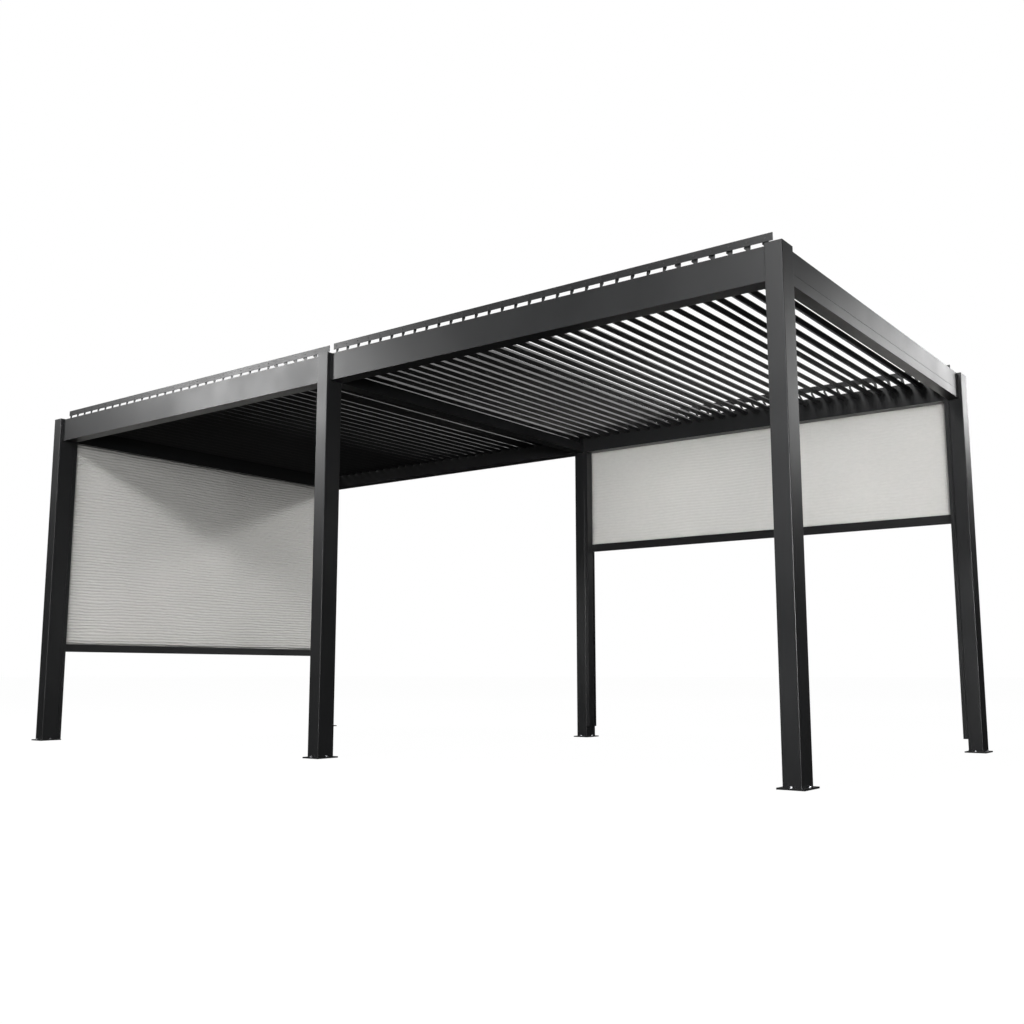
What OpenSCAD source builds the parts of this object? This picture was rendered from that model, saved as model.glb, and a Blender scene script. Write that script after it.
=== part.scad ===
// Two-bay louvred pergola, millimetres, +Z up, +X along the front, origin at ground level.

/* [Frame] */
// Length over the outer faces of the end posts
frame_l = 6090; // [4000:10:8000]
// Depth over the front and back faces of the posts
frame_d = 3000; // [2000:10:4500]
// Height of the posts with their caps
post_h = 2480; // [2100:10:3000]
// Post width along the front
post_w = 90; // [70:1:150]
// Post depth from front to back
post_d = 125; // [90:1:180]
// Radius of the post edges
post_r = 4; // [2:0.5:8]
// Wall of the post tube
post_wall = 3; // [2:0.5:5]
// Thickness of the post caps
cap_t = 5; // [3:0.5:8]

/* [Foot plates] */
// Width of the flange around the post
flange_w = 20; // [15:1:60]
// Thickness of the plate
plate_t = 8; // [5:1:15]
// Diameter of the anchor holes
anchor_d = 9; // [7:0.5:16]

/* [Beams] */
// Height of the beams
beam_h = 170; // [120:5:260]
// Distance from the post tops down to the beam tops
beam_drop = 6; // [0:1:30]
// Wall of the beam sections
beam_wall = 2.5; // [2:0.5:5]
// Front and back beams behind the post faces
front_recess = 25; // [0:1:40]
// Side beams behind the post faces
side_recess = 20; // [0:1:40]
// Width of the front and back box sections
front_box_w = 40; // [30:1:80]
// Width of the side box sections
side_box_w = 20; // [15:1:60]
// Height of the gutter lips
gutter_h = 65; // [30:1:100]
// Height of the rib in the middle gutter
middle_rib_h = 85; // [65:1:100]
// Width of the seam along a side beam
seam_w = 2; // [1:0.5:4]
// Depth of the seam
seam_depth = 1; // [0.5:0.5:1.5]

/* [Louvres] */
// Louvres in each bay
louvre_count = 32; // [8:1:40]
// Free width at the left end of a bay
field_start = 4; // [1:1:20]
// Free width at the right end of a bay
field_end = 11; // [1:1:40]
// Make-up louvre in each bay, narrower on its left side
makeup_louvre = 27; // [2:1:32]
// Width that the make-up louvre takes out of the row
makeup_cut = 20; // [0:1:30]
// Gap between two level louvres
louvre_gap = 8.5; // [5:0.5:20]
// Thickness of a louvre
louvre_t = 27; // [15:1:40]
// Chamfer on the louvre corners
louvre_chamfer = 1.5; // [1:0.5:6]
// Width of the lip that covers the next louvre
lip_w = 8; // [4:1:20]
// Thickness of the lip
lip_t = 4; // [3.5:0.5:8]
// Wall of the louvre section
louvre_wall = 2; // [1.5:0.1:3]
// Gap between a louvre and the beam that carries it
louvre_end_gap = 30; // [26:1:60]
// Tilt of the louvres as stored
louvre_tilt = 34; // [8:1:80]
// Distance from the post tops down to the louvre pivots
pivot_drop = 30; // [20:1:60]
// Diameter of the pivot pins
pivot_d = 10; // [6:0.5:16]
// Diameter of the drain hole in each louvre end
drain_d = 6; // [3:0.5:10]

/* [Link bars] */
// Distance from louvre pivot to link pin
arm_r = 88; // [70:1:160]
// Lean of the arms towards the left as stored
arm_lean = 10; // [0:1:30]
// Width of an arm at its foot
arm_foot_w = 16; // [12:1:40]
// Width of an arm at its neck
arm_neck_w = 14; // [10:1:30]
// Width of an arm at its head
arm_head_w = 22; // [18:1:50]
// Distance from the link pin down to the neck
neck_drop = 34; // [26:1:50]
// Neck left of the line from pivot to link pin
arm_bow = 14; // [0:1:20]
// Neck width of the arms from the make-up louvre on
end_neck_w = 20; // [10:1:30]
// Head width of those arms
end_head_w = 35; // [20:1:50]
// Bow of those arms
end_arm_bow = 3; // [0:1:20]
// Thickness of an arm
arm_t = 4; // [3:0.5:8]
// Height of a link bar
bar_h = 39; // [25:1:60]
// Thickness of a link bar
bar_t = 4; // [3:0.5:8]
// Link bar beyond the first link pin
bar_left_end = 19; // [10:1:60]
// Link bar beyond the last link pin
bar_right_end = 40; // [10:1:80]
// Diameter of the link pins
link_pin_d = 8; // [5:0.5:12]
// Diameter of the spacer collars
collar_d = 14; // [10:1:20]
// Distance from arm to link bar in the right bay
right_bar_gap = 11; // [2:1:14]

/* [Screens] */
// Width of a guide rail across its opening
guide_w = 28; // [20:1:60]
// Distance from the outer face of a rail to its screen
slot_in = 18; // [14:1:28]
// Wall of a guide rail
guide_wall = 2; // [1.5:0.5:4]
// Lowered length of the left fabric
left_drop = 1578; // [100:1:1700]
// Lowered length of the back fabric
back_drop = 760; // [100:1:1700]
// Height of the back guide rails above ground
back_guide_z = 84; // [0:1:200]
// Thickness of the fabric
fabric_t = 1; // [0.5:0.1:2]
// Height of a bottom bar
screen_bar_h = 59; // [30:1:90]
// Thickness of a bottom bar
screen_bar_t = 20; // [15:1:36]

/* [Fits] */
// Radial clearance of a pin in a louvre, arm or bar
pin_clear = 0.05; // [0.01:0.01:0.2]
// Radial clearance of a pivot pin in a beam
pivot_clear = 0.3; // [0.1:0.1:0.8]
// Gap between a louvre and its arms
face_clear = 0.1; // [0.1:0.1:1]
// Extra room beside the make-up louvre
makeup_clear = 2; // [1:0.5:5]
// Gap between an arm or collar and its link bar
bar_clear = 1; // [0.5:0.5:2]
// Clearance of fabric and bottom bar in a guide
guide_clear = 1; // [0.5:0.5:3]

/* [Hidden] */
half_l = frame_l / 2;
half_d = frame_d / 2;
bay_span = half_l - 1.5 * post_w;
side_span = frame_d - 2 * post_d;
beam_top = post_h - beam_drop;
beam_bottom = beam_top - beam_h;
tube_h = post_h - cap_t - plate_t;
head_leg = front_recess + front_box_w - 10;
side_leg = side_recess + side_box_w - 5;
web_y = half_d - front_recess - front_box_w;
bay_x = (half_l - post_w / 2) / 2;
louvre_pitch = (2 * bay_x - field_start - field_end + makeup_cut) / louvre_count;
louvre_w = louvre_pitch - louvre_gap;
louvre_end = web_y - louvre_end_gap;
pivot_h = post_h - pivot_drop;
pivot_end = web_y + beam_wall + 1;
pivot_len = pivot_end - louvre_end + louvre_wall;
arm_y = louvre_end + face_clear;
pin_x = -arm_r * sin(arm_lean);
pin_h = pivot_h + arm_r * cos(arm_lean);
pin_head = 2;
left_bar_y = arm_y + arm_t + bar_clear;
right_bar_y = arm_y + arm_t + right_bar_gap;
left_fabric_z = beam_bottom - left_drop;
back_fabric_z = beam_bottom - back_drop;
graphite = [0.12, 0.125, 0.13];
blade_grey = [0.1, 0.1, 0.105];
fabric_grey = [0.66, 0.65, 0.64];

FIXED_NODES = [
  "post_front_left", "post_front_middle", "post_front_right",
  "post_back_left", "post_back_middle", "post_back_right",
  "post_caps", "foot_plates",
  "beam_front_left", "beam_front_right", "beam_back_left", "beam_back_right",
  "beam_side_left", "beam_side_right", "beam_middle",
  "louvres_left", "arms_left", "link_bars_left", "link_bars_right",
  "left_guides", "left_fabric", "left_bottom_bar",
  "back_guides", "back_fabric", "back_bottom_bar"
];
function louvre_name(i) = str("louvre_", i < 10 ? "0" : "", i);
function shift(i) = i < makeup_louvre ? 0 : makeup_cut;
function louvre_x(i) = field_start - bay_x + (i - 0.5) * louvre_pitch - shift(i);

// Outline of a post with rounded edges
module post_plan() {
  square([post_w - 2 * post_r, post_d], center = true);
  square([post_w, post_d - 2 * post_r], center = true);
  for (x = [-1, 1], y = [-1, 1])
    translate([x * (post_w / 2 - post_r), y * (post_d / 2 - post_r)]) circle(r = post_r, $fn = 32);
}

module tube_plan() {
  difference() {
    post_plan();
    square([post_w - 2 * post_wall, post_d - 2 * post_wall], center = true);
  }
}

// Footprint of the post head: the pocket behind it takes the beams
module head_plan(side) {
  translate([-post_w / 2, -post_d / 2]) square([post_w, head_leg]);
  if (side != 0) {
    translate([side > 0 ? post_w / 2 - side_leg : -post_w / 2, -post_d / 2]) square([side_leg, post_d]);
  }
}

module post(side) {
  shaft_h = beam_bottom - plate_t;
  color(graphite) translate([0, 0, plate_t]) {
    linear_extrude(shaft_h) tube_plan();
    linear_extrude(tube_h) intersection() {
      tube_plan();
      head_plan(side);
    }
  }
}

module post_cap(side) {
  color(graphite) translate([0, 0, post_h - cap_t]) linear_extrude(cap_t) intersection() {
    post_plan();
    head_plan(side);
  }
}

module foot_plate() {
  hole_x = post_w / 2 + flange_w / 2;
  hole_y = post_d / 2 + flange_w / 2;
  color(graphite) linear_extrude(plate_t) difference() {
    square([post_w + 2 * flange_w, post_d + 2 * flange_w], center = true);
    for (s = [-1, 1]) {
      translate([s * hole_x, 0]) circle(d = anchor_d, $fn = 48);
      translate([0, s * hole_y]) circle(d = anchor_d, $fn = 48);
    }
  }
}

// Places a child at one of the six posts; side is -1, 0 or 1 and back is 0 or 1
module at_post(side, back) {
  mirror([0, back, 0]) translate([side * (half_l - post_w / 2), -half_d + post_d / 2, 0]) children();
}

module at_posts() {
  for (side = [-1:1], back = [0, 1]) at_post(side, back) children();
}

// Box and gutter section, outer face on x = 0, bottom on y = 0
module beam_section(box_w, gutter_w) {
  difference() {
    square([box_w, beam_h]);
    translate([beam_wall, beam_wall]) square([box_w - 2 * beam_wall, beam_h - 2 * beam_wall]);
  }
  gutter_section(box_w - beam_wall, gutter_w + beam_wall);
}

module gutter_section(start, w) {
  translate([start, 0]) difference() {
    square([w, gutter_h]);
    translate([beam_wall, beam_wall]) square([w - 2 * beam_wall, gutter_h]);
  }
}

module front_beam(side) {
  color(graphite) translate([side * bay_x, 0, 0]) difference() {
    translate([0, -half_d + front_recess, beam_bottom]) rotate([90, 0, 90])
      linear_extrude(bay_span, center = true)
        beam_section(front_box_w, post_d - front_recess - front_box_w);
    for (i = [1:louvre_count])
      translate([louvre_x(i), -web_y, pivot_h]) rotate([90, 0, 0])
        cylinder(h = 3 * beam_wall, d = pivot_d + 2 * pivot_clear, center = true, $fn = 32);
  }
}

module side_beam() {
  gutter_w = post_w - side_recess - side_box_w;
  color(graphite) translate([half_l - side_recess, 0, beam_bottom]) rotate([90, 0, 0]) mirror([1, 0, 0]) {
    linear_extrude(side_span, center = true) difference() {
      beam_section(side_box_w, gutter_w);
      translate([0, beam_h / 3]) square([2 * seam_depth, seam_w], center = true);
    }
    linear_extrude(2 * (half_d - head_leg), center = true)
      gutter_section(side_box_w - beam_wall, gutter_w + beam_wall);
  }
}

module middle_beam() {
  color(graphite) translate([0, 0, beam_bottom]) rotate([90, 0, 0])
    linear_extrude(2 * (half_d - head_leg), center = true) {
      translate([-post_w / 2, 0]) difference() {
        square([post_w, gutter_h]);
        translate([beam_wall, beam_wall]) square([post_w - 2 * beam_wall, gutter_h]);
      }
      translate([-beam_wall, 0]) square([2 * beam_wall, middle_rib_h]);
    }
}

// Louvre body with chamfered corners, pivot in the middle; cut narrows the left side
module blade_outline(inset, cut) {
  right = louvre_w / 2 - inset;
  left = cut - right;
  t = louvre_t / 2 - inset;
  c = max(louvre_chamfer - inset * 0.6, 0.2);
  polygon([
    [left, c - t], [left + c, -t], [right - c, -t], [right, c - t],
    [right, t - c], [right - c, t], [left + c, t], [left, t - c]
  ]);
}

// Lip over the next louvre, which keeps its reach where the body is cut
module lip_outline(cut) {
  translate([-louvre_w / 2 - lip_w, louvre_t / 2 - lip_t])
    square([cut + lip_w + 2 * louvre_chamfer, lip_t]);
}

// Hollow louvre with closed ends and its two pivot pins, pivot on the origin
module blade(i) {
  cut = i == makeup_louvre ? makeup_cut + makeup_clear : 0;
  rotate([0, louvre_tilt, 0]) {
    rotate([90, 0, 0]) linear_extrude(2 * (louvre_end - louvre_wall), center = true) difference() {
      union() {
        blade_outline(0, cut);
        lip_outline(cut);
      }
      blade_outline(louvre_wall, cut);
    }
    for (s = [-1, 1])
      translate([0, s * (louvre_end - louvre_wall / 2), 0]) rotate([90, 0, 0])
        linear_extrude(louvre_wall, center = true) difference() {
          blade_outline(0, cut);
          translate([louvre_w / 4, 0]) circle(d = drain_d, $fn = 24);
        }
  }
  for (s = [-1, 1])
    translate([0, s * (pivot_end - pivot_len / 2), 0]) rotate([90, 0, 0])
      cylinder(h = pivot_len, d = pivot_d, center = true, $fn = 32);
}

// Plate of an arm, pivot on the origin and link pin straight above it
module arm_outline(bow, neck_w, head_w) {
  foot = arm_foot_w / 2;
  neck = neck_w / 2;
  head = head_w / 2;
  head_mid = -arm_bow / 2;
  neck_h = arm_r - neck_drop;
  head_h = arm_r - bar_h / 2;
  top_h = arm_r + link_pin_d;
  polygon([
    [-foot, -pivot_d], [foot, -pivot_d], [foot, pivot_d],
    [neck - bow, neck_h], [head_mid + head, head_h], [head * 0.8, top_h],
    [-head * 0.8, top_h], [head_mid - head, head_h], [-neck - bow, neck_h],
    [-foot, pivot_d]
  ]);
}

// Arm of louvre i on its outer side with the link pin; gap is the distance to the link bar
module arm(i, gap, back) {
  mirror([0, back, 0]) rotate([0, -arm_lean, 0]) translate([0, -arm_y, 0]) rotate([90, 0, 0]) {
    linear_extrude(arm_t) difference() {
      if (i < makeup_louvre) arm_outline(arm_bow, arm_neck_w, arm_head_w);
      else arm_outline(end_arm_bow, end_neck_w, end_head_w);
      circle(d = pivot_d + 2 * pin_clear, $fn = 32);
    }
    translate([0, arm_r, 0]) {
      cylinder(h = arm_t + gap + bar_t + pin_head, d = link_pin_d, $fn = 32);
      cylinder(h = arm_t + gap - bar_clear, d = collar_d, $fn = 32);
    }
  }
}

module right_louvre(i) {
  translate([bay_x + louvre_x(i), 0, pivot_h]) {
    color(blade_grey) blade(i);
    color(graphite) for (back = [0, 1]) arm(i, right_bar_gap, back);
  }
}

module link_bars(centre_x, y) {
  bar_l = louvre_x(louvre_count) - louvre_x(1) + bar_left_end + bar_right_end;
  color(graphite) for (s = [-1, 1])
    translate([centre_x + pin_x, s * (y + bar_t / 2), pin_h]) rotate([90, 0, 0])
      linear_extrude(bar_t, center = true) difference() {
        translate([louvre_x(1) - bar_left_end, -bar_h / 2]) square([bar_l, bar_h]);
        for (i = [1:louvre_count])
          translate([louvre_x(i), 0]) circle(d = link_pin_d + 2 * pin_clear, $fn = 32);
      }
}

// Rail against a post: screen channel with its slot and a second chamber, outer face on y = 0
module guide(depth, h) {
  channel_d = 2 * slot_in;
  linear_extrude(h) difference() {
    square([guide_w, depth]);
    translate([guide_wall, guide_wall]) square([guide_w - 2 * guide_wall, channel_d - 2 * guide_wall]);
    translate([guide_wall, channel_d])
      square([guide_w - 2 * guide_wall, depth - channel_d - guide_wall]);
    translate([guide_w - 1.5 * guide_wall, slot_in - screen_bar_t / 2 - guide_clear])
      square([2 * guide_wall, screen_bar_t + 2 * guide_clear]);
  }
}

// Pair of rails for an opening from x = 0 to span
module screen_guides(span, depth, z0) {
  for (s = [0, 1]) translate([s * span, 0, z0]) mirror([s, 0, 0]) guide(depth, beam_bottom - z0);
}

module screen_fabric(span, z0) {
  inset = 3 * guide_wall;
  translate([inset, slot_in - fabric_t / 2, z0]) cube([span - 2 * inset, fabric_t, beam_bottom - z0]);
}

module screen_bottom_bar(span, z_top) {
  inset = guide_w - 3;
  translate([inset, slot_in - screen_bar_t / 2, z_top - screen_bar_h]) difference() {
    cube([span - 2 * inset, screen_bar_t, screen_bar_h]);
    translate([-1, guide_wall, guide_wall])
      cube([span, screen_bar_t - 2 * guide_wall, screen_bar_h - 2 * guide_wall]);
  }
}

module at_left_screen() {
  translate([-half_l + side_recess, -half_d + post_d, 0]) rotate([0, 0, 90]) mirror([0, 1, 0]) children();
}

module at_back_screen() {
  translate([post_w / 2, half_d - front_recess, 0]) mirror([0, 1, 0]) children();
}

module post_front_left() { at_post(-1, 0) post(-1); }
module post_front_middle() { at_post(0, 0) post(0); }
module post_front_right() { at_post(1, 0) post(1); }
module post_back_left() { at_post(-1, 1) post(-1); }
module post_back_middle() { at_post(0, 1) post(0); }
module post_back_right() { at_post(1, 1) post(1); }
module post_caps() { for (side = [-1:1], back = [0, 1]) at_post(side, back) post_cap(side); }
module foot_plates() { at_posts() foot_plate(); }
module beam_front_left() { front_beam(-1); }
module beam_front_right() { front_beam(1); }
module beam_back_left() { mirror([0, 1, 0]) beam_front_left(); }
module beam_back_right() { mirror([0, 1, 0]) beam_front_right(); }
module beam_side_left() { mirror([1, 0, 0]) side_beam(); }
module beam_side_right() { side_beam(); }
module beam_middle() { middle_beam(); }
module louvres_left() {
  color(blade_grey) for (i = [1:louvre_count])
    translate([-bay_x + louvre_x(i), 0, pivot_h]) blade(i);
}
module arms_left() {
  color(graphite) for (i = [1:louvre_count], back = [0, 1])
    translate([-bay_x + louvre_x(i), 0, pivot_h]) arm(i, bar_clear, back);
}
module link_bars_left() { link_bars(-bay_x, left_bar_y); }
module link_bars_right() { link_bars(bay_x, right_bar_y); }
module left_guides() {
  color(graphite) at_left_screen() screen_guides(side_span, post_w - side_recess, plate_t);
}
module left_fabric() { color(fabric_grey) at_left_screen() screen_fabric(side_span, left_fabric_z); }
module left_bottom_bar() { color(graphite) at_left_screen() screen_bottom_bar(side_span, left_fabric_z); }
module back_guides() {
  color(graphite) at_back_screen() screen_guides(bay_span, post_d - front_recess, back_guide_z);
}
module back_fabric() { color(fabric_grey) at_back_screen() screen_fabric(bay_span, back_fabric_z); }
module back_bottom_bar() { color(graphite) at_back_screen() screen_bottom_bar(bay_span, back_fabric_z); }

post_front_left();
post_front_middle();
post_front_right();
post_back_left();
post_back_middle();
post_back_right();
post_caps();
foot_plates();
beam_front_left();
beam_front_right();
beam_back_left();
beam_back_right();
beam_side_left();
beam_side_right();
beam_middle();
louvres_left();
arms_left();
link_bars_left();
link_bars_right();
left_guides();
left_fabric();
left_bottom_bar();
back_guides();
back_fabric();
back_bottom_bar();
for (i = [1:louvre_count]) right_louvre(i);
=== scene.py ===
import math

import bmesh
import bpy
from mathutils import Matrix, Vector


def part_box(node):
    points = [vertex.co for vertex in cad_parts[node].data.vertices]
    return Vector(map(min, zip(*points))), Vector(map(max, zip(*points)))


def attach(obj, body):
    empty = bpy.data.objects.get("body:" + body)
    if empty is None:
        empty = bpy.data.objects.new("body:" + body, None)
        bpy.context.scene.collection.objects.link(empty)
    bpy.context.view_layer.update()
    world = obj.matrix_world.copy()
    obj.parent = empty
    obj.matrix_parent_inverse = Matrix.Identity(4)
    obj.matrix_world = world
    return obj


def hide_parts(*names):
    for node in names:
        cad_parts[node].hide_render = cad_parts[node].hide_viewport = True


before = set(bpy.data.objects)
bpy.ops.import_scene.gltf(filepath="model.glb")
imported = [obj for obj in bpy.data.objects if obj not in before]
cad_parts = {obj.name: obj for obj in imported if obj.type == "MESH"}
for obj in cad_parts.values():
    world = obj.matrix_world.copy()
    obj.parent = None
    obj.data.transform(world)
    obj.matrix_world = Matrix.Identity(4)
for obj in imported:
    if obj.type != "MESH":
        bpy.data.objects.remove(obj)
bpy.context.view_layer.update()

FRAME_BODY = "frame"

# Camera, found by fitting the post, plate and beam corners of the photograph
CAMERA_AT = (5.005, -6.134, 0.493)
CAMERA_YAW = 37.225
CAMERA_PITCH = 8.325
FOCAL_PX = 1110.0
FRAME_PX = 1024.0
SENSOR_MM = 36.0
FAR_CLIP = 500.0

# Linear colours
COAT = (0.0092, 0.0094, 0.0098, 1.0)
LOUVRE_COAT = (0.0095, 0.0097, 0.0100, 1.0)
CLOTH = (0.46, 0.453, 0.435, 1.0)
STEEL = (0.22, 0.22, 0.23, 1.0)
BLACK = (0.0, 0.0, 0.0, 1.0)
WHITE = (1.0, 1.0, 1.0, 1.0)
FLOOR_GREY = (0.03, 0.03, 0.03, 1.0)

# Noise keeps mostly between these two values
NOISE_LOW = 0.25
NOISE_HIGH = 0.75

# Powder coat: roughness and gloss of frame and louvres, soft clouds and a fine grain
COAT_ROUGHNESS = 0.34
COAT_GLOSS = 0.3
LOUVRE_ROUGHNESS = 0.42
LOUVRE_GLOSS = 0.45
COAT_CLOUD_SCALE = 3.0
COAT_CLOUD_LIGHTER = 1.25
COAT_CLOUD_SMOOTHER = 0.04
COAT_CLOUD_ROUGHER = 0.05
GRAIN_SCALE = 900.0
GRAIN_STRENGTH = 0.12
GRAIN_RELIEF = 0.0002

# Screen cloth: sheet, ribs, streaks along the ribs, threads and slight differences in shade
SHEET_T = 0.0008
SHEET_SAG = 0.004
SHEET_COLUMNS = 60
SHEET_ROWS = 40
RIB_PITCH = 0.023
RIB_DRIFT = 0.4
RIB_DRIFT_SCALE = (2.5, 2.5, 6.0)
STREAK_SCALE = (9.0, 9.0, 45.0)
LEFT_RELIEF = 0.0018
BACK_RELIEF = 0.0003
THREAD_PITCH = 0.004
THREAD_SHADE = 0.03
CLOTH_CLOUD_SCALE = 1.7
CLOTH_CLOUD_SHADE = (0.97, 1.02)
SLUB_SCALE = (30.0, 30.0, 90.0)
SLUB_SHADE = (0.97, 1.03)
CLOTH_ROUGHNESS = 0.8
CLOTH_GLOSS = 0.2

# Anchor bolts and their stained zinc
HEAD_R = 0.0075
HEAD_H = 0.0065
WASHER_R = 0.0095
WASHER_T = 0.0016
TOP_TAPER = 0.93
HEAD_SIDES = 6
WASHER_SIDES = 24
STAIN_SCALE = 60.0
STAIN_ROUGHNESS = (0.35, 0.55)

# Floor: a little under the foot plates, and its glow for the camera
FLOOR_SIZE = 400.0
FLOOR_Z = -0.0005
FLOOR_WHITE = 0.98

# Studio world: strength of its even light, and of its gloss, which brightens upwards
# between two heights (sines of the elevation)
DIFFUSE_LIGHT = 0.25
GLOSS_LIGHT = 0.15
HORIZON_LIGHT = 0.12
HORIZON_Z = -0.02
BRIGHT_Z = 0.45


def new_material(name):
    mat = bpy.data.materials.new(name)
    mat.use_nodes = True
    tree = mat.node_tree
    shader = tree.nodes["Principled BSDF"]
    return mat, tree, shader


def coordinates(tree, scale=(1.0, 1.0, 1.0)):
    """Object coordinates, which are the row frame's, times scale."""
    place = tree.nodes.new("ShaderNodeTexCoord")
    mapping = tree.nodes.new("ShaderNodeMapping")
    mapping.inputs["Scale"].default_value = scale
    tree.links.new(place.outputs["Object"], mapping.inputs["Vector"])
    return mapping.outputs["Vector"]


def noise(tree, vector, scale=1.0, detail=2.0):
    node = tree.nodes.new("ShaderNodeTexNoise")
    node.inputs["Scale"].default_value = scale
    node.inputs["Detail"].default_value = detail
    tree.links.new(vector, node.inputs["Vector"])
    return node.outputs["Fac"]


def spread(tree, value, low, high):
    """Noise spread out from low to high."""
    node = tree.nodes.new("ShaderNodeMapRange")
    node.inputs["From Min"].default_value = NOISE_LOW
    node.inputs["From Max"].default_value = NOISE_HIGH
    node.inputs["To Min"].default_value = low
    node.inputs["To Max"].default_value = high
    tree.links.new(value, node.inputs["Value"])
    return node.outputs["Result"]


def math_node(tree, operation, *values):
    """A Math node whose inputs are numbers or other nodes' outputs."""
    node = tree.nodes.new("ShaderNodeMath")
    node.operation = operation
    for socket, value in zip(node.inputs, values):
        if isinstance(value, float):
            socket.default_value = value
        else:
            tree.links.new(value, socket)
    return node.outputs["Value"]


def wave(tree, value, pitch):
    turns = math_node(tree, "MULTIPLY", value, 2.0 * math.pi / pitch)
    return math_node(tree, "SINE", turns)


def blend(tree, share, first, second):
    """The colour between first and second, or past it, by share."""
    node = tree.nodes.new("ShaderNodeMix")
    node.data_type = "RGBA"
    node.clamp_factor = False
    node.inputs["A"].default_value = first
    node.inputs["B"].default_value = second
    tree.links.new(share, node.inputs["Factor"])
    return node.outputs["Result"]


def bump(tree, height, strength, distance, shader):
    node = tree.nodes.new("ShaderNodeBump")
    node.inputs["Strength"].default_value = strength
    node.inputs["Distance"].default_value = distance
    tree.links.new(height, node.inputs["Height"])
    tree.links.new(node.outputs["Normal"], shader.inputs["Normal"])


def powder_coat(name, colour, roughness, gloss):
    """Satin powder coat: a dark dielectric film with a fine orange-peel grain."""
    mat, tree, shader = new_material(name)
    shader.inputs["Specular IOR Level"].default_value = gloss
    grain = noise(tree, coordinates(tree), GRAIN_SCALE, detail=1.0)
    cloud = noise(tree, coordinates(tree), COAT_CLOUD_SCALE, detail=3.0)
    lighter = tuple(c * COAT_CLOUD_LIGHTER for c in colour[:3]) + (1.0,)
    tree.links.new(blend(tree, cloud, colour, lighter), shader.inputs["Base Color"])
    smoother, rougher = roughness - COAT_CLOUD_SMOOTHER, roughness + COAT_CLOUD_ROUGHER
    tree.links.new(spread(tree, cloud, smoother, rougher), shader.inputs["Roughness"])
    bump(tree, grain, GRAIN_STRENGTH, GRAIN_RELIEF, shader)
    return mat


def screen_cloth(name, along, relief):
    """Coated screen cloth: a fine weave, and slightly wavy horizontal ribs in relief."""
    mat, tree, shader = new_material(name)
    shader.inputs["Roughness"].default_value = CLOTH_ROUGHNESS
    shader.inputs["Specular IOR Level"].default_value = CLOTH_GLOSS
    place = tree.nodes.new("ShaderNodeTexCoord")
    parts = tree.nodes.new("ShaderNodeSeparateXYZ")
    tree.links.new(place.outputs["Object"], parts.inputs["Vector"])
    across, height = parts.outputs[along], parts.outputs["Z"]

    weave = math_node(
        tree, "MULTIPLY", wave(tree, height, THREAD_PITCH), wave(tree, across, THREAD_PITCH)
    )
    cloud = noise(tree, coordinates(tree), CLOTH_CLOUD_SCALE)
    cloud = spread(tree, cloud, *CLOTH_CLOUD_SHADE)
    slub = spread(tree, noise(tree, coordinates(tree, SLUB_SCALE)), *SLUB_SHADE)
    shade = math_node(tree, "MULTIPLY_ADD", weave, THREAD_SHADE, cloud)
    shade = math_node(tree, "MULTIPLY", shade, slub)
    tree.links.new(blend(tree, shade, BLACK, CLOTH), shader.inputs["Base Color"])

    drift = noise(tree, coordinates(tree, RIB_DRIFT_SCALE))
    drift = spread(tree, drift, -RIB_DRIFT, RIB_DRIFT)
    drifted = math_node(tree, "MULTIPLY_ADD", drift, RIB_PITCH, height)
    streaks = spread(tree, noise(tree, coordinates(tree, STREAK_SCALE)), -1.0, 1.0)
    ribs = math_node(tree, "ADD", wave(tree, drifted, RIB_PITCH), streaks)
    bump(tree, ribs, strength=1.0, distance=relief, shader=shader)
    return mat


def zinc_steel(name):
    """Dull zinc, whose stains differ in roughness."""
    mat, tree, shader = new_material(name)
    shader.inputs["Metallic"].default_value = 1.0
    shader.inputs["Base Color"].default_value = STEEL
    stains = noise(tree, coordinates(tree), STAIN_SCALE, detail=3.0)
    tree.links.new(spread(tree, stains, *STAIN_ROUGHNESS), shader.inputs["Roughness"])
    return mat


coat = powder_coat("coat", COAT, COAT_ROUGHNESS, COAT_GLOSS)
louvre_coat = powder_coat("louvre_coat", LOUVRE_COAT, LOUVRE_ROUGHNESS, LOUVRE_GLOSS)
cloth_left = screen_cloth("cloth_left", "Y", LEFT_RELIEF)
cloth_back = screen_cloth("cloth_back", "X", BACK_RELIEF)
steel = zinc_steel("zinc_steel")


def dress(obj, mat):
    obj.data.materials.clear()
    obj.data.materials.append(mat)


for name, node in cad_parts.items():
    if name.startswith("louvre"):
        dress(node, louvre_coat)
    elif name.endswith("fabric"):
        dress(node, cloth_left)
    else:
        dress(node, coat)


def mesh_object(name, mesh_builder, mat, body):
    """A piece that moves with body, made by a function that fills a bmesh."""
    bm = bmesh.new()
    mesh_builder(bm)
    mesh = bpy.data.meshes.new(name)
    bm.to_mesh(mesh)
    bm.free()
    obj = bpy.data.objects.new(name, mesh)
    bpy.context.collection.objects.link(obj)
    dress(obj, mat)
    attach(obj, body)
    return obj


def add_prism(bm, foot, radius, height, sides):
    """An upright prism on foot, a little narrower at its top."""
    centre = Vector(foot) + Vector((0.0, 0.0, height / 2))
    bmesh.ops.create_cone(
        bm, cap_ends=True, segments=sides, radius1=radius, radius2=radius * TOP_TAPER,
        depth=height, matrix=Matrix.Translation(centre),
    )


def plate_centres():
    """Each foot plate's centre, the reach to the middle of its flanges, and its top."""
    lo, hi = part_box("foot_plates")
    post_lo, post_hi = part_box("post_front_right")
    half_w = (post_hi[0] - post_lo[0]) / 2
    half_d = (post_hi[1] - post_lo[1]) / 2
    flange = hi[0] - post_hi[0]
    for x in (lo[0] + flange + half_w, 0.0, hi[0] - flange - half_w):
        for y in (lo[1] + flange + half_d, hi[1] - flange - half_d):
            yield x, y, half_w + flange / 2, half_d + flange / 2, hi[2]


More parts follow.
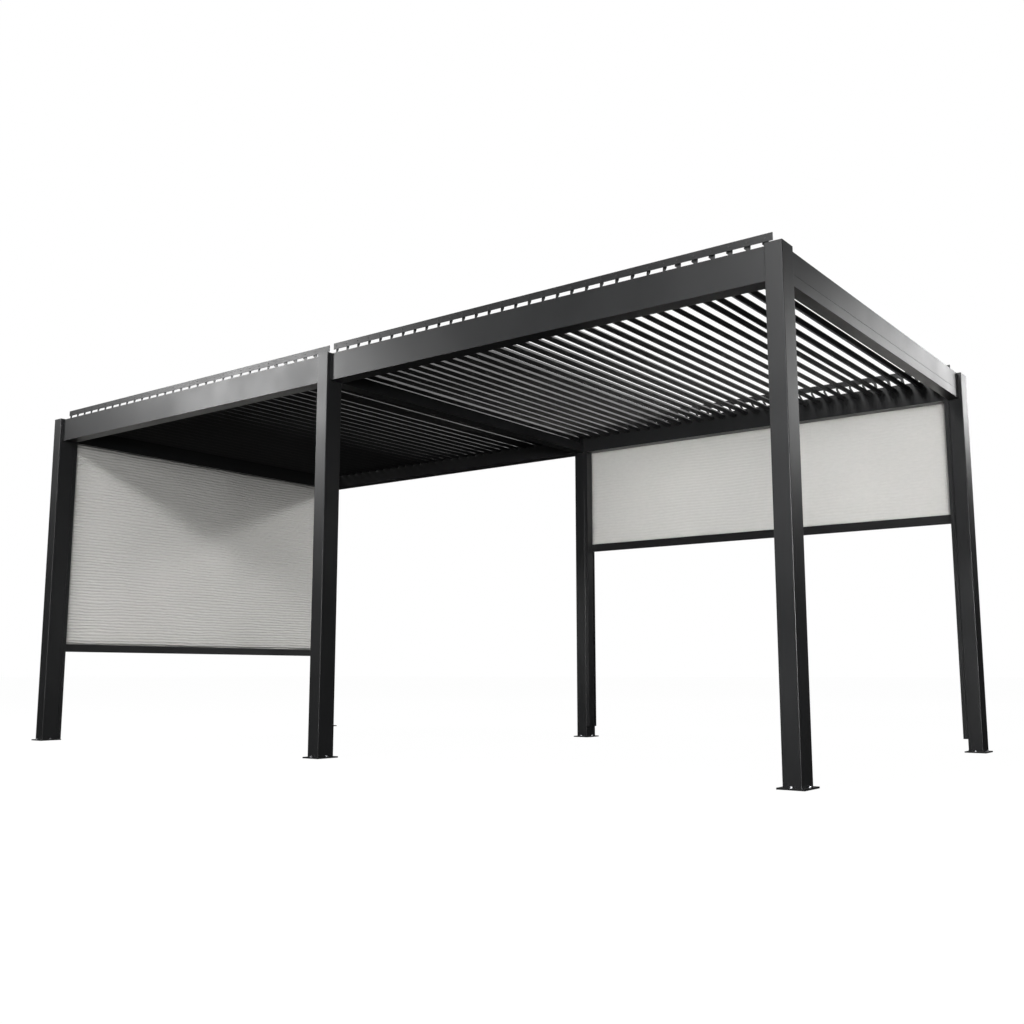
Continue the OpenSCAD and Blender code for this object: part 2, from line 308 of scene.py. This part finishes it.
def build_anchors(bm):
    """A bolt at the middle of each flange, but for the two that a guide rail stands over."""
    rail_lo, rail_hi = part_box("left_guides")
    for x, y, dx, dy, top in plate_centres():
        for px, py in ((x - dx, y), (x + dx, y), (x, y - dy), (x, y + dy)):
            if rail_lo[0] < px < rail_hi[0] and rail_lo[1] < py < rail_hi[1]:
                continue
            add_prism(bm, (px, py, top), WASHER_R, WASHER_T, WASHER_SIDES)
            add_prism(bm, (px, py, top + WASHER_T), HEAD_R, HEAD_H, HEAD_SIDES)


mesh_object("anchor_bolts", build_anchors, steel, FRAME_BODY)


def build_cloth(name, node, across, mat):
    """A stretched sheet in place of its CAD slab, sagging a little along the axis across."""
    lo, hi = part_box(node)
    along = 1 - across
    mid = (lo[across] + hi[across]) / 2
    width = hi[along] - lo[along]
    drop = hi[2] - lo[2]

    def build(bm):
        grid = []
        for r in range(SHEET_ROWS + 1):
            line = []
            for c in range(SHEET_COLUMNS + 1):
                u, v = c / SHEET_COLUMNS, r / SHEET_ROWS
                sag = SHEET_SAG * math.sin(math.pi * u) * math.sin(math.pi * v)
                point = [0.0, 0.0, lo[2] + drop * v]
                point[along] = lo[along] + width * u
                point[across] = mid + sag
                line.append(bm.verts.new(point))
            grid.append(line)
        for low, high in zip(grid, grid[1:]):
            for c in range(SHEET_COLUMNS):
                bm.faces.new((low[c], low[c + 1], high[c + 1], high[c]))
        bmesh.ops.recalc_face_normals(bm, faces=bm.faces)

    obj = mesh_object(name, build, mat, FRAME_BODY)
    solid = obj.modifiers.new("thickness", "SOLIDIFY")
    solid.thickness = SHEET_T
    solid.offset = 0.0
    for face in obj.data.polygons:
        face.use_smooth = True
    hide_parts(node)


build_cloth("left_screen_cloth", "left_fabric", 0, cloth_left)
build_cloth("back_screen_cloth", "back_fabric", 1, cloth_back)


def stage_floor():
    """White to the camera with a faint shadow, even light for diffuse rays and dark in gloss."""
    bpy.ops.mesh.primitive_plane_add(size=FLOOR_SIZE, location=(0.0, 0.0, FLOOR_Z))
    floor = bpy.context.object
    floor.name = "floor"
    mat = bpy.data.materials.new("floor")
    mat.use_nodes = True
    tree = mat.node_tree
    tree.nodes.clear()
    out = tree.nodes.new("ShaderNodeOutputMaterial")
    diffuse = tree.nodes.new("ShaderNodeBsdfDiffuse")
    diffuse.inputs["Color"].default_value = FLOOR_GREY
    glow = tree.nodes.new("ShaderNodeEmission")
    path = tree.nodes.new("ShaderNodeLightPath")
    bounce = math_node(tree, "MULTIPLY", path.outputs["Is Diffuse Ray"], DIFFUSE_LIGHT)
    level = math_node(tree, "MULTIPLY_ADD", path.outputs["Is Camera Ray"], FLOOR_WHITE, bounce)
    tree.links.new(level, glow.inputs["Strength"])
    both = tree.nodes.new("ShaderNodeAddShader")
    tree.links.new(diffuse.outputs["BSDF"], both.inputs[0])
    tree.links.new(glow.outputs["Emission"], both.inputs[1])
    tree.links.new(both.outputs["Shader"], out.inputs["Surface"])
    floor.data.materials.append(mat)


def world_light():
    """White behind the object, even light on it, and a gloss that brightens upwards."""
    world = bpy.data.worlds.new("world")
    bpy.context.scene.world = world
    world.use_nodes = True
    tree = world.node_tree
    tree.nodes.clear()
    path = tree.nodes.new("ShaderNodeLightPath")
    direction = tree.nodes.new("ShaderNodeTexCoord")
    parts = tree.nodes.new("ShaderNodeSeparateXYZ")
    tree.links.new(direction.outputs["Generated"], parts.inputs["Vector"])
    rise = tree.nodes.new("ShaderNodeMapRange")
    rise.interpolation_type = "SMOOTHSTEP"
    rise.inputs["From Min"].default_value = HORIZON_Z
    rise.inputs["From Max"].default_value = BRIGHT_Z
    rise.inputs["To Min"].default_value = HORIZON_LIGHT
    rise.inputs["To Max"].default_value = 1.0
    tree.links.new(parts.outputs["Z"], rise.inputs["Value"])
    gloss = math_node(tree, "MULTIPLY", rise.outputs["Result"], GLOSS_LIGHT)
    gloss = math_node(tree, "MULTIPLY", gloss, path.outputs["Is Glossy Ray"])
    even = math_node(tree, "MULTIPLY", path.outputs["Is Diffuse Ray"], DIFFUSE_LIGHT)
    strength = math_node(tree, "ADD", gloss, even)

    studio = tree.nodes.new("ShaderNodeBackground")
    tree.links.new(strength, studio.inputs["Strength"])
    white = tree.nodes.new("ShaderNodeBackground")
    for node in (studio, white):
        node.inputs["Color"].default_value = WHITE
    seen = math_node(
        tree, "MAXIMUM", path.outputs["Is Camera Ray"], path.outputs["Is Transmission Ray"]
    )
    mix = tree.nodes.new("ShaderNodeMixShader")
    tree.links.new(seen, mix.inputs["Fac"])
    tree.links.new(studio.outputs["Background"], mix.inputs[1])
    tree.links.new(white.outputs["Background"], mix.inputs[2])
    out = tree.nodes.new("ShaderNodeOutputWorld")
    tree.links.new(mix.outputs["Shader"], out.inputs["Surface"])


def softbox(name, at, target, size, power, cone_deg=180.0):
    """A rectangular lamp. A narrow cone keeps its light to the place it points at."""
    light = bpy.data.lights.new(name, "AREA")
    light.shape = "RECTANGLE"
    light.size, light.size_y = size
    light.energy = power
    light.spread = math.radians(cone_deg)
    obj = bpy.data.objects.new(name, light)
    bpy.context.collection.objects.link(obj)
    obj.location = at
    obj.rotation_euler = (Vector(target) - Vector(at)).to_track_quat("-Z", "Y").to_euler()
    obj.visible_camera = False


def add_lights():
    # highlights on the front beams, on the front right post and on the right side beam
    softbox("beam_key", (-8.1, -7.6, 5.0), (-1.0, -1.5, 2.35), (1.5, 1.5), 370.0)
    softbox("front_high", (1.2, -12.5, 6.9), (2.5, -1.5, 2.0), (2.5, 2.0), 720.0)
    softbox("side_key", (6.5, 16.0, 6.5), (3.0, 0.0, 2.3), (3.0, 3.0), 250.0)
    # low fill for cloths and posts
    softbox("front_fill", (6.5, -13.0, 1.8), (0.5, 0.0, 1.6), (7.0, 3.0), 350.0)
    softbox("right_fill", (9.0, -9.0, 2.0), (0.5, 0.0, 1.6), (5.0, 3.0), 750.0)
    # two keys on the left screen, whose shadows meet in a V, and one on the back screen
    left_cone, back_cone = 26.0, 30.0
    softbox("screen_key_front", (5.4, -8.4, 5.3), (-3.0, -1.3, 1.5), (1.1, 1.1), 13.5, left_cone)
    softbox("screen_key_back", (5.4, 8.4, 5.3), (-3.0, 1.3, 1.5), (1.1, 1.1), 13.5, left_cone)
    softbox("back_screen_key", (6.5, -9.5, 1.4), (1.5, 1.46, 1.75), (3.0, 0.8), 31.0, back_cone)
    # bright strips along the louvres, and light on the roof
    softbox("sky_back", (-7.3, 12.6, 9.6), (0.0, 0.0, 2.4), (12.0, 7.0), 300.0)
    softbox("top", (0.0, -1.0, 9.0), (0.0, 0.0, 2.4), (7.0, 4.0), 300.0)


def add_camera():
    data = bpy.data.cameras.new("camera")
    data.sensor_width = SENSOR_MM
    data.lens = FOCAL_PX / FRAME_PX * SENSOR_MM
    data.clip_end = FAR_CLIP
    camera = bpy.data.objects.new("camera", data)
    camera.location = CAMERA_AT
    camera.rotation_euler = (math.radians(90 + CAMERA_PITCH), 0, math.radians(CAMERA_YAW))
    bpy.context.collection.objects.link(camera)
    bpy.context.scene.camera = camera


stage_floor()
world_light()
add_lights()
add_camera()
bpy.context.scene.view_settings.view_transform = "Standard"
